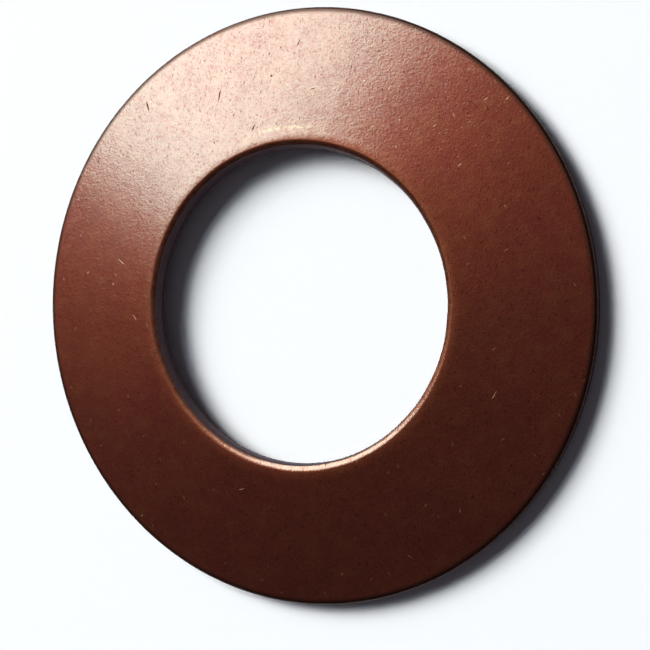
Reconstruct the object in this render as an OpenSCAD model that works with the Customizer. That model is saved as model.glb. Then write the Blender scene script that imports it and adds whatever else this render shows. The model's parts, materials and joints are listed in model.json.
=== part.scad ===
// Coned disc-spring washer (Belleville washer).
// One ring of spring strip, pressed into a shallow cone. It stands on its outer
// lower edge at z = 0, the bore is raised, and +Z is the axis. Millimetres.

/* [Disc] */
// Outside diameter, over the rim's straight land
outside_d = 50; // [42:0.5:80]
// Bore diameter, over the bore's straight land
bore_d = 26.2; // [18:0.1:32]
// Thickness of the strip, square to the cone's faces
thickness = 1.4; // [1:0.05:2]
// Slope of the cone's faces, in degrees
cone_angle = 6.2; // [4:0.1:10]

/* [Edges] */
// Radius on the two edges of the upper face
upper_edge_r = 0.3; // [0.1:0.02:0.4]
// Radius on the two edges of the lower face
lower_edge_r = 0.2; // [0.1:0.02:0.4]
// Height of the straight land that is turned on the bore and on the rim
land_h = 0.65; // [0.3:0.05:0.7]

/* [Hidden] */
$fn = 96;

// The strip's two ends are square to its faces, so they lean by the cone angle.
// The lands take off the part of each end that leans past its diameter.
land_cut = land_h * tan(cone_angle);
bore_corner_r = bore_d / 2 - land_cut;
rim_corner_r = outside_d / 2 + land_cut - thickness * sin(cone_angle);
strip_len = (rim_corner_r - bore_corner_r) / cos(cone_angle);
// A height that no part of the section reaches
clear_h = thickness + strip_len;

// Rectangle with its lower right corner at the origin and rounded corners
module rounded_strip(len, thick, lower_r, upper_r) {
    cut = [lower_r, upper_r];
    low = 0;
    high = thick;
    polygon([
        [-len, low + cut[0]],
        [-len + cut[0], low],
        [-cut[0], low],
        [0, low + cut[0]],
        [0, high - cut[1]],
        [-cut[1], high],
        [-len + cut[1], high],
        [-len, high - cut[1]]
    ]);
    for (x = [-len + lower_r, -lower_r])
        translate([x, lower_r]) circle(r = lower_r);
    for (x = [-len + upper_r, -upper_r])
        translate([x, thick - upper_r]) circle(r = upper_r);
}

// Half section of the disc: the strip, tipped up towards the axis
module section() {
    difference() {
        translate([rim_corner_r, 0])
            rotate(-cone_angle)
                rounded_strip(strip_len, thickness, lower_edge_r, upper_edge_r);
        translate([0, -clear_h]) square([bore_d / 2, 2 * clear_h]);
        translate([outside_d / 2, -clear_h]) square([outside_d, 2 * clear_h]);
    }
}

module disc_spring() {
    // The rounded resting edge touches z = 0
    edge_drop = lower_edge_r * (cos(cone_angle) + sin(cone_angle) - 1);
    color("peru")
        translate([0, 0, -edge_drop])
            rotate_extrude() section();
}

disc_spring();
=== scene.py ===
"""A coned disc-spring washer of copper-brown spring metal, on white paper by a soft window light."""

import json
import math
from types import SimpleNamespace

import bpy
import numpy as np
from mathutils import Matrix, Vector


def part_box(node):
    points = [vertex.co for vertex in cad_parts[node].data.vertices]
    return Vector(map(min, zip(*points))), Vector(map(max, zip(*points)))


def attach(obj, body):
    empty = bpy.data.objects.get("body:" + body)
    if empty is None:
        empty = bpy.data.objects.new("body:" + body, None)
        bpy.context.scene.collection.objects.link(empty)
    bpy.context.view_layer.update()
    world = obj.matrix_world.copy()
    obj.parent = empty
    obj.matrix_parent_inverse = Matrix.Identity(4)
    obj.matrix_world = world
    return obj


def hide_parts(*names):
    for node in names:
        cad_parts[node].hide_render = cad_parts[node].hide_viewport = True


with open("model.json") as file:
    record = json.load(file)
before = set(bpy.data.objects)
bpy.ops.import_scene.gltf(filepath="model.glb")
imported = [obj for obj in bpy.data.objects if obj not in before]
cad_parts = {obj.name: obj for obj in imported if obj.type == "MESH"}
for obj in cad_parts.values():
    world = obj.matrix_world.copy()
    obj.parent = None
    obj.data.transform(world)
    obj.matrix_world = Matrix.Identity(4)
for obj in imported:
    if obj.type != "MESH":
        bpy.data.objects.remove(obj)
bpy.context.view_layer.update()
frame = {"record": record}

MM = 0.001
rng = np.random.default_rng(50)

# Driving sizes, in metres. The diameters and the floor's height come from the frame.
RIM_R = frame["record"]["size"]["bbox_m"][1] / 2
BORE_R = next(m["dims"]["r_mm"] for m in frame["record"]["mounts"] if m["name"] == "bore") * MM
MID_R = (BORE_R + RIM_R) / 2
FLOOR_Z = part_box("disc_spring")[0].z
THICK = 1.4 * MM
CONE = math.radians(6.2)
RIM_EDGE = 0.36 * MM          # radius of the upper edge at the rim
LOWER_EDGE = 0.2 * MM         # radius of both lower edges
LAND = 0.65 * MM              # how much of the bore and rim walls is cut straight

# The bore's upper edge
ROLL_LENGTH = 1.15 * MM       # how far the die roll reaches over the face from the bore
ROLL_DEPTH = 0.09 * MM        # how far that gentle roll drops by the bore wall
LIP_LENGTH = 0.45 * MM        # the tighter curl at its end
LIP_DEPTH = 0.18 * MM
LIP_CORNER = 0.05 * MM        # the step from the curl to the wall
WALL_TAPER = 0.17 * MM        # how much wider the punched bore is at the top than at the bottom
BORE_PUSH = 0.05 * MM         # how far the punch pushed the edge out all round
BORE_OFFSET = 0.17 * MM       # how far off centre it struck
BORE_OFFSET_AT = math.radians(70)
BORE_WAVE = 0.012 * MM        # how uneven the edge is
PUSH_REACH = 1.1 * MM         # how far over the face the push fades out
WALL_SHARE = 0.8              # how much of the push the wall takes

# The pressed face
FACE_SWAY = 0.002 * MM
SWAY_TWIST = 1.2              # how far a sway's crest turns from the axis to the rim, in radians

# Where the painted shade on the rim edge, the painted glow by the bore and the worn lip lie, measured in
# from the rim or out from the bore
# Painted shade: the rim's upper edge is painted dark brown, fading in from the rim
DARK_RIM = 0.52 * MM
DARK_RIM_FADE = 0.22 * MM
# Painted highlight: a golden glow painted on the face near the bore edge, all round
PAINTED_GLOW_FLAT = 0.25 * MM
PAINTED_GLOW_FADE = 0.55 * MM
WORN_AT = 0.36 * MM
WORN_WIDTH = 0.16 * MM

SEGMENTS = 576


# ---------------------------------------------------------------- the disc's mesh

def arc(centre, radius, start, end, count):
    """Points on an arc, in degrees, without its two ends."""
    angles = np.radians(np.linspace(start, end, count + 2)[1:-1])
    return np.c_[centre[0] + radius * np.cos(angles), centre[1] + radius * np.sin(angles)]


def line(start, end, count):
    """Evenly spaced points from start to end, with both ends."""
    return np.linspace(start, end, count)


def die_roll(length, count):
    """The upper face where it curls down to the bore wall, from the wall to the flat face."""
    s = ROLL_LENGTH * np.linspace(0, 1, count) ** 1.8
    roll = ROLL_DEPTH * (1 - s / ROLL_LENGTH) ** 2
    lip = LIP_DEPTH * np.clip(1 - s / LIP_LENGTH, 0, 1) ** 2
    return np.c_[s - length + WALL_TAPER, THICK - roll - lip]


def strip_outline(length):
    """The strip's section, once round, with its lower rim corner at the origin, and each point's region."""
    low, up, t = LOWER_EDGE, RIM_EDGE, THICK
    wall_top = t - ROLL_DEPTH - LIP_DEPTH - LIP_CORNER
    parts = [
        ("under", line((-low, 0), (-length + low, 0), 30)),
        ("edge", arc((-length + low, low), low, 270, 180, 5)),
        ("bore", line((-length, low), (-length + WALL_TAPER, wall_top), 14)),
        ("roll", die_roll(length, 26)),
        ("face", line((-length + WALL_TAPER + ROLL_LENGTH, t), (-up, t), 72)[1:]),
        ("rim_edge", arc((-up, t - up), up, 90, 0, 10)),
        ("rim", line((0, t - up), (0, low), 8)),
        ("edge", arc((-low, low), low, 0, -90, 5)),
    ]
    points = np.vstack([p for _, p in parts])
    regions = np.concatenate([[name] * len(p) for name, p in parts])
    return points, regions


def disc_section():
    """Radius, height and region of each point of the section, in the disc's own frame."""
    cut = LAND * math.tan(CONE)
    bore_corner = BORE_R - cut
    rim_corner = RIM_R + cut - THICK * math.sin(CONE)
    length = (rim_corner - bore_corner) / math.cos(CONE)
    drop = LOWER_EDGE * (math.cos(CONE) + math.sin(CONE) - 1)
    outline, regions = strip_outline(length)
    x, y = outline[:, 0], outline[:, 1]
    r = rim_corner + x * math.cos(CONE) + y * math.sin(CONE)
    z = -x * math.sin(CONE) + y * math.cos(CONE) - drop
    return np.clip(r, BORE_R, RIM_R), z, regions


def waves(phi, orders, size):
    """A slow random wave round the axis, of about the given size."""
    total = np.zeros_like(phi)
    for order in orders:
        total += rng.normal() * np.cos(order * phi + rng.uniform(0, 2 * math.pi)) / math.sqrt(len(orders))
    return total * size


def finish_and_painted_light_masks(r, regions):
    """How much of each finish, and of the painted shade and painted glow, shows at each point of the
    section.
    """
    upper = np.isin(regions, ("roll", "face"))
    out = r - BORE_R
    return {
        "on_wall": (regions == "bore") | ((regions == "edge") & (r < MID_R)),
        # Painted shade: a dark band round the rim's upper edge
        "painted_shade_rim_edge": np.clip((r - RIM_R + DARK_RIM) / DARK_RIM_FADE, 0, 1) * (regions != "under"),
        # Painted highlight: the face by the bore is painted golden, fading out over the face
        "near_bore": upper * np.exp(-np.maximum(out - PAINTED_GLOW_FLAT, 0) / PAINTED_GLOW_FADE),
        "on_lip": upper * np.exp(-((out - WORN_AT) / WORN_WIDTH) ** 2),
    }


def disc_points(r, z, regions, on_wall):
    """The section turned round the axis, with the small faults of punching and pressing."""
    phi = np.linspace(0, 2 * math.pi, SEGMENTS, endpoint=False)
    upper = np.isin(regions, ("roll", "face"))
    # The punch leaves the bore's upper edge off centre and a little uneven
    push = BORE_PUSH + BORE_OFFSET * np.cos(phi - BORE_OFFSET_AT) + waves(phi, range(7, 36), BORE_WAVE)
    share = np.maximum(upper * np.exp(-((r - BORE_R) / PUSH_REACH) ** 2), WALL_SHARE * on_wall)
    radius = np.maximum(r[:, None] + share[:, None] * push[None, :], BORE_R)
    # The press leaves the face not quite a true cone
    height = np.repeat(z[:, None], SEGMENTS, axis=1)
    for order in (2, 3, 5):
        start = rng.uniform(0, 6)
        sway = np.cos(order * phi[None, :] + SWAY_TWIST * (r[:, None] / RIM_R) * order + start)
        height -= upper[:, None] * FACE_SWAY * (1 + sway)
    return np.stack([radius * np.cos(phi), radius * np.sin(phi), height], -1).reshape(-1, 3)


def ring_faces(rows):
    """Quads between neighbouring rows of points, closed both round the section and round the axis."""
    index = np.arange(rows * SEGMENTS).reshape(rows, SEGMENTS)
    below = np.roll(index, -1, axis=0)
    corners = [index, np.roll(index, -1, axis=1), np.roll(below, -1, axis=1), below]
    return np.stack(corners, -1).reshape(-1, 4)


def build_disc():
    r, z, regions = disc_section()
    masks = finish_and_painted_light_masks(r, regions)
    points = disc_points(r, z, regions, masks["on_wall"])
    mesh = bpy.data.meshes.new("coned_disc")
    mesh.from_pydata(points.tolist(), [], ring_faces(len(r)).tolist())
    mesh.shade_smooth()
    for name, mask in masks.items():
        values = np.repeat(mask.astype(np.float32), SEGMENTS)
        mesh.attributes.new(name, "FLOAT", "POINT").data.foreach_set("value", values)
    mesh.update()
    disc = bpy.data.objects.new("coned_disc", mesh)
    bpy.context.scene.collection.objects.link(disc)
    return disc


# ---------------------------------------------------------------- shader helpers

class Graph:
    """Small helpers for wiring one material's nodes."""

    def __init__(self, name):
        self.material = bpy.data.materials.new(name)
        self.material.use_nodes = True
        self.tree = self.material.node_tree
        self.shader = self.tree.nodes["Principled BSDF"]

    def node(self, kind, inputs=None, **settings):
        made = self.tree.nodes.new("ShaderNode" + kind)
        for key, value in settings.items():
            setattr(made, key, value)
        for key, value in (inputs or {}).items():
            self.feed(made.inputs[key], value)
        return made

    def feed(self, socket, value):
        if isinstance(value, bpy.types.NodeSocket):
            self.tree.links.new(value, socket)
        else:
            socket.default_value = value

    def surface(self, **inputs):
        """Feeds the shader's own sockets: base_color feeds Base Color, coat_ior feeds Coat IOR."""
        for key, value in inputs.items():
            name = key.replace("_", " ").title().replace("Ior", "IOR")
            self.feed(self.shader.inputs[name], value)

    def math(self, operation, a, b=0.0, clamp=False):
        return self.node("Math", {0: a, 1: b}, operation=operation, use_clamp=clamp).outputs[0]

    def plus(self, a, b):
        return self.math("ADD", a, b)

    def minus(self, a, b):
        return self.math("SUBTRACT", a, b)

    def times(self, a, b):
        return self.math("MULTIPLY", a, b)

    def most(self, a, b):
        return self.math("MAXIMUM", a, b)

    def swing(self, pattern, size):
        """The pattern's swing about its middle, times size."""
        return self.times(self.minus(pattern, 0.5), size)

    def ramp(self, value, low, high, to_low=0.0, to_high=1.0):
        inputs = {"Value": value, "From Min": low, "From Max": high, "To Min": to_low, "To Max": to_high}
        return self.node("MapRange", inputs, interpolation_type="SMOOTHSTEP").outputs[0]

    def noise(self, vector, scale, detail, roughness):
        inputs = {"Vector": vector, "Scale": scale, "Detail": detail, "Roughness": roughness}
        return self.node("TexNoise", inputs).outputs["Fac"]

    def vector(self, operation, a, b):
        return self.node("VectorMath", {0: a, 1: b}, operation=operation).outputs[0]

    def length(self, vector):
        return self.node("VectorMath", {0: vector}, operation="LENGTH").outputs["Value"]

    def strokes(self, vector, turn, length, width, spot=(0, 0, 0)):
        """The vector from a spot, counted in strokes' lengths along their turn and widths across it."""
        inputs = {
            "Vector": vector,
            "Location": spot,
            "Rotation": (0, 0, math.radians(turn)),
            "Scale": (length * MM, width * MM, 1),
        }
        return self.node("Mapping", inputs, vector_type="TEXTURE").outputs[0]

    def mix(self, factor, a, b):
        made = self.node("Mix", data_type="RGBA")
        self.feed(made.inputs["Factor"], factor)
        self.feed(made.inputs["A"], a)
        self.feed(made.inputs["B"], b)
        return made.outputs["Result"]

    def attribute(self, name):
        return self.node("Attribute", attribute_name=name).outputs["Fac"]


# ---------------------------------------------------------------- the metal

MAROON = (0.124, 0.0155, 0.0098, 1)
RUSSET = (0.119, 0.0168, 0.0086, 1)
CLOUDED = (0.137, 0.0190, 0.0096, 1)
MOTTLED = (0.16, 0.034, 0.012, 1)
# Painted highlight: the golden glow that the die roll by the bore catches, painted all round
PAINTED_GLOW_GOLD = (0.19, 0.053, 0.018, 1)
WORN = (0.3, 0.12, 0.085, 1)
SCRATCHED = (0.3, 0.09, 0.035, 1)
BARE = (0.55, 0.26, 0.14, 1)
RUBBED = (0.28, 0.15, 0.07, 1)
SUNKEN = (0.02, 0.006, 0.003, 1)
WALL_MAUVE = (0.075, 0.043, 0.052, 1)
# Painted shade: the dark line round the rim's upper edge
PAINTED_RIM_SHADE = (0.045, 0.012, 0.008, 1)

BUMP_DEPTH = 0.01 * MM
WANDER = 0.25 * MM            # how far a drawn mark strays from its straight line
STREAK_R = 14.95 * MM
STREAK_WIDTH = 0.26 * MM
STREAK_AT = math.radians(92)

# Single marks on the upper face: radius in mm, angle in degrees, length and width in mm, turn in degrees
DARK_MARKS = [
    (22.8, 129, 1.1, 0.17, 108),
    (19.4, 111, 1.1, 0.12, 76),
    (15.5, 103, 0.7, 0.13, 66),
    (19.5, 96, 0.3, 0.2, 20),
    (22.0, 89, 0.7, 0.09, 70),
    (23.6, 146, 0.3, 0.16, 100),
    (18.1, 84, 0.5, 0.1, 15),
]
BRIGHT_MARKS = [
    (17.4, 166, 1.2, 0.08, 140),
    (15.4, 183, 0.7, 0.1, 132),
    (17.9, 173, 0.3, 0.14, 120),
    (20.9, 171, 0.3, 0.14, 60),
    (24.1, 230, 0.35, 0.18, 40),
    (22.4, 280, 0.3, 0.16, 60),
    (22.4, 296, 0.6, 0.09, 150),
    (21.5, 311, 0.4, 0.14, 100),
    (18.4, 338, 0.9, 0.07, 55),
    (16.2, 252, 0.8, 0.07, 15),
]


def place_mark(g, vector, mark):
    """A soft-ended stroke: 1 along its middle, 0 outside it."""
    radius, angle, length, width, turn = mark
    spot = (radius * MM * math.cos(math.radians(angle)), radius * MM * math.sin(math.radians(angle)), 0)
    reach = g.length(g.strokes(vector, turn, length / 2, width / 2, spot))
    return g.ramp(reach, 0.35, 1.15, 1.0, 0.0)


def all_marks(g, vector, marks):
    total = 0.0
    for mark in marks:
        total = g.most(total, place_mark(g, vector, mark))
    return total


def stroke_field(g, vector, turn, length, width, low, high):
    """Sparse short strokes that all run one way."""
    return g.ramp(g.noise(g.strokes(vector, turn, length, width), 1.0, 1.0, 0.4), low, high)


def scratches(g, vector):
    """Fine tumbling scratches in several directions."""
    total = 0.0
    for turn in (12, 47, 78, 109, 151):
        total = g.most(total, stroke_field(g, vector, turn, 0.7, 0.055, 0.68, 0.8))
    return total


def dark_flecks(g, vector):
    """Short dark flecks in two directions."""
    one, other = [stroke_field(g, vector, turn, 0.45, 0.12, 0.655, 0.75) for turn in (62, 104)]
    return g.most(one, other)


def nick_field(g, vector, turn):
    """Tiny nicks, several millimetres apart, that all run one way."""
    local = g.strokes(vector, turn, 0.4, 0.12)
    cells = g.node("TexVoronoi", {"Vector": local, "Scale": 0.035}, voronoi_dimensions="2D")
    return g.ramp(cells.outputs["Distance"], 0.007, 0.019, 1.0, 0.0)


def wear_streak(g, flat, breaks):
    """A short bright band where the face has rubbed, just outside the roll of the bore edge."""
    split = g.node("SeparateXYZ", {0: flat})
    angle = g.math("ARCTAN2", split.outputs[1], split.outputs[0])
    off = g.math("ABSOLUTE", g.minus(g.length(flat), STREAK_R))
    turn = g.math("ABSOLUTE", g.minus(angle, STREAK_AT))
    band = g.times(g.ramp(off, 0.0, STREAK_WIDTH, 1.0, 0.0), g.ramp(turn, 0.1, 0.3, 1.0, 0.0))
    return g.times(band, g.ramp(breaks, 0.4, 0.62))


def place_vectors(g):
    """The place on the disc, the same place seen from above, and that with a wander for drawn marks."""
    place = g.node("TexCoord").outputs["Object"]
    split = g.node("SeparateXYZ", {0: place})
    flat = g.node("CombineXYZ", {0: split.outputs[0], 1: split.outputs[1]}).outputs[0]
    wander = g.node("TexNoise", {"Vector": place, "Scale": 900.0, "Detail": 2.0}).outputs["Color"]
    shift = g.vector("SUBTRACT", wander, (0.5, 0.5, 0.5))
    step = g.node("VectorMath", {0: shift, "Scale": WANDER}, operation="SCALE").outputs[0]
    return place, flat, g.vector("ADD", flat, step)


def surface_patterns(g):
    """The patterns, from 0 to 1, that colour, gloss and bump share. Noise scales are per metre."""
    place, flat, bent = place_vectors(g)
    p = SimpleNamespace()
    p.grain = g.noise(place, 5000.0, 2.0, 0.65)
    p.speck = g.noise(place, 2100.0, 4.0, 0.75)
    p.blotch = g.noise(place, 850.0, 3.0, 0.6)
    p.cloud = g.noise(place, 240.0, 3.0, 0.6)
    p.sheen = g.noise(place, 95.0, 2.0, 0.5)
    p.scratch = scratches(g, flat)
    p.dark = all_marks(g, bent, DARK_MARKS)
    nicks = g.most(nick_field(g, bent, 38), nick_field(g, bent, 116))
    p.bright = g.most(all_marks(g, bent, BRIGHT_MARKS), g.times(nicks, 0.5))
    pits = g.times(g.ramp(p.speck, 0.62, 0.7), 0.6)
    p.hollow = g.most(p.dark, g.most(pits, g.times(dark_flecks(g, bent), 0.75)))
    p.streak = wear_streak(g, flat, p.speck)
    p.wall = g.attribute("on_wall")
    # Where the painted shade on the rim edge lies
    p.rim_edge = g.attribute("painted_shade_rim_edge")
    # Where the painted golden glow by the bore lies
    p.near_bore = g.attribute("near_bore")
    p.worn_lip = g.times(g.attribute("on_lip"), g.ramp(g.noise(place, 1300.0, 3.0, 0.7), 0.38, 0.58))
    return p


def metal_colour(g, p):
    """Close browns with some mottling, then each kind of wear, mark and wall colour over them, a painted
    golden glow by the bore and painted shade on the rim edge.
    """
    colour = g.mix(g.ramp(p.sheen, 0.35, 0.65), MAROON, RUSSET)
    layers = [
        (g.ramp(p.cloud, 0.3, 0.7), CLOUDED),
        (g.times(g.ramp(p.blotch, 0.45, 0.7), 0.35), MOTTLED),
        # Painted highlight: a golden glow by the bore
        (g.times(p.near_bore, 0.4), PAINTED_GLOW_GOLD),
        (g.times(p.worn_lip, 0.3), WORN),
        (g.times(p.scratch, 0.12), SCRATCHED),
        (g.times(p.bright, 0.5), BARE),
        (g.times(p.streak, 0.4), RUBBED),
        (g.times(p.hollow, 0.9), SUNKEN),
        (p.wall, WALL_MAUVE),
        # Painted shade on the rim edge
        (p.rim_edge, PAINTED_RIM_SHADE),
    ]
    for factor, layer in layers:
        colour = g.mix(factor, colour, layer)
    return colour


def coat_weight(g, p):
    """The glossy skin over the brown: broken by hollows and grain, and nearly gone on the walls."""
    coat = g.minus(0.92, p.hollow)
    for pattern, size in ((p.cloud, 0.35), (p.blotch, 0.45), (p.speck, 1.0), (p.grain, 1.3)):
        coat = g.plus(coat, g.swing(pattern, size))
    coat = g.minus(coat, g.times(p.near_bore, 0.2))
    # The walls, and the rim edge under its painted shade, lose most of the gloss
    dull = g.most(g.times(p.wall, 0.9), g.times(p.rim_edge, 0.85))
    return g.math("MULTIPLY", coat, g.minus(1.0, dull), clamp=True)


def bump_normal(g, p):
    height = g.plus(g.times(p.grain, 0.9), g.times(p.speck, 0.75))
    height = g.plus(height, g.times(p.blotch, 0.9))
    height = g.minus(height, g.times(p.scratch, 0.12))
    height = g.minus(height, g.times(g.most(p.dark, g.times(p.bright, 0.6)), 1.2))
    return g.node("Bump", {"Height": height, "Strength": 1.0, "Distance": BUMP_DEPTH}).outputs[0]


def spring_metal():
    """Satin copper-brown metal under a thin glossy skin."""
    g = Graph("copper_brown_metal")
    p = surface_patterns(g)
    rougher = g.plus(g.swing(p.grain, 0.1), g.times(p.wall, 0.2))
    normal = bump_normal(g, p)
    g.surface(base_color=metal_colour(g, p), metallic=1.0, roughness=g.plus(0.46, rougher), normal=normal)
    g.surface(coat_weight=coat_weight(g, p), coat_roughness=0.178, coat_ior=1.6, coat_normal=normal)
    return g.material


# ---------------------------------------------------------------- the scene

ROOM_R = 0.8
LAMP_DISTANCE = 3.0
PAPER_LIGHT_FROM = (144.7, 36.2)
METAL_LIGHT_FROM = (133.4, 40.5)


def paper():
    g = Graph("paper")
    g.surface(base_color=(0.86, 0.88, 0.885, 1), roughness=0.9, specular_ior_level=0.0)
    return g.material


def pale_backdrop():
    g = Graph("backdrop")
    g.surface(base_color=(0, 0, 0, 1), specular_ior_level=0.0)
    g.surface(emission_color=(0.74, 0.76, 0.78, 1), emission_strength=1.0)
    g.material.cycles.emission_sampling = "NONE"
    return g.material


def build_floor():
    bpy.ops.mesh.primitive_plane_add(size=2 * ROOM_R, location=(0, 0, FLOOR_Z))
    floor = bpy.context.object
    floor.name = "paper_floor"
    floor.data.materials.append(paper())


def build_backdrop():
    """A pale dome behind everything, which neither lights the object nor shades it."""
    bpy.ops.mesh.primitive_uv_sphere_add(segments=64, ring_count=32, radius=ROOM_R)
    dome = bpy.context.object
    dome.name = "backdrop"
    dome.data.materials.append(pale_backdrop())
    dome.visible_diffuse = False
    dome.visible_glossy = False
    dome.visible_shadow = False


def aim(obj, target, up):
    """Turns an object so that its -Z points at the target and its Y is as near as it can be to up."""
    back = (obj.location - target).normalized()
    right = up.cross(back).normalized()
    turn = Matrix((right, back.cross(right), back)).transposed()
    obj.rotation_euler = turn.to_euler()


def direction(azimuth, elevation):
    a, e = math.radians(azimuth), math.radians(elevation)
    return Vector((math.cos(a) * math.cos(e), math.sin(a) * math.cos(e), math.sin(e)))


def add_window(name, light_from, side, watts, tint):
    """A square lamp, its side in metres, that faces the object."""
    light = bpy.data.lights.new(name, "AREA")
    light.shape = "SQUARE"
    light.size = side
    light.energy = watts
    light.color = tint
    lamp = bpy.data.objects.new(name, light)
    bpy.context.scene.collection.objects.link(lamp)
    lamp.location = LAMP_DISTANCE * direction(*light_from)
    aim(lamp, Vector((0, 0, 0)), Vector((0, 0, 1)))
    return lamp


def build_lights():
    """A dim room, two nested lamps that light the paper, and one that only the metal reflects."""
    world = bpy.data.worlds.new("room")
    bpy.context.scene.world = world
    world.use_nodes = True
    room = world.node_tree.nodes["Background"]
    room.inputs["Color"].default_value = (0.92, 0.84, 1.0, 1)
    room.inputs["Strength"].default_value = 0.06
    pane = add_window("pane_on_paper", PAPER_LIGHT_FROM, 1.2, 116.0, (1, 0.985, 0.96))
    sky = add_window("sky_on_paper", PAPER_LIGHT_FROM, 2.1, 78.0, (0.91, 0.98, 1.08))
    for lamp in (pane, sky):
        lamp.visible_glossy = False
    on_metal = add_window("window_on_metal", METAL_LIGHT_FROM, 2.3, 212.0, (0.75, 1.02, 0.91))
    on_metal.visible_diffuse = False


def build_camera():
    data = bpy.data.cameras.new("camera")
    data.lens = 68.1
    data.sensor_width = 36
    data.clip_start = 0.005
    camera = bpy.data.objects.new("camera", data)
    bpy.context.scene.collection.objects.link(camera)
    target = Vector((2.05, -1.50, 0.51)) * MM
    camera.location = target + 103.2 * MM * direction(2.75, 66.45)
    aim(camera, target, Vector((0, 1, -0.0209)))
    bpy.context.scene.camera = camera


disc = build_disc()
disc.data.materials.append(spring_metal())
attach(disc, "root")
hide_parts("disc_spring")
build_floor()
build_backdrop()
build_lights()
build_camera()
bpy.context.scene.view_settings.view_transform = "Standard"
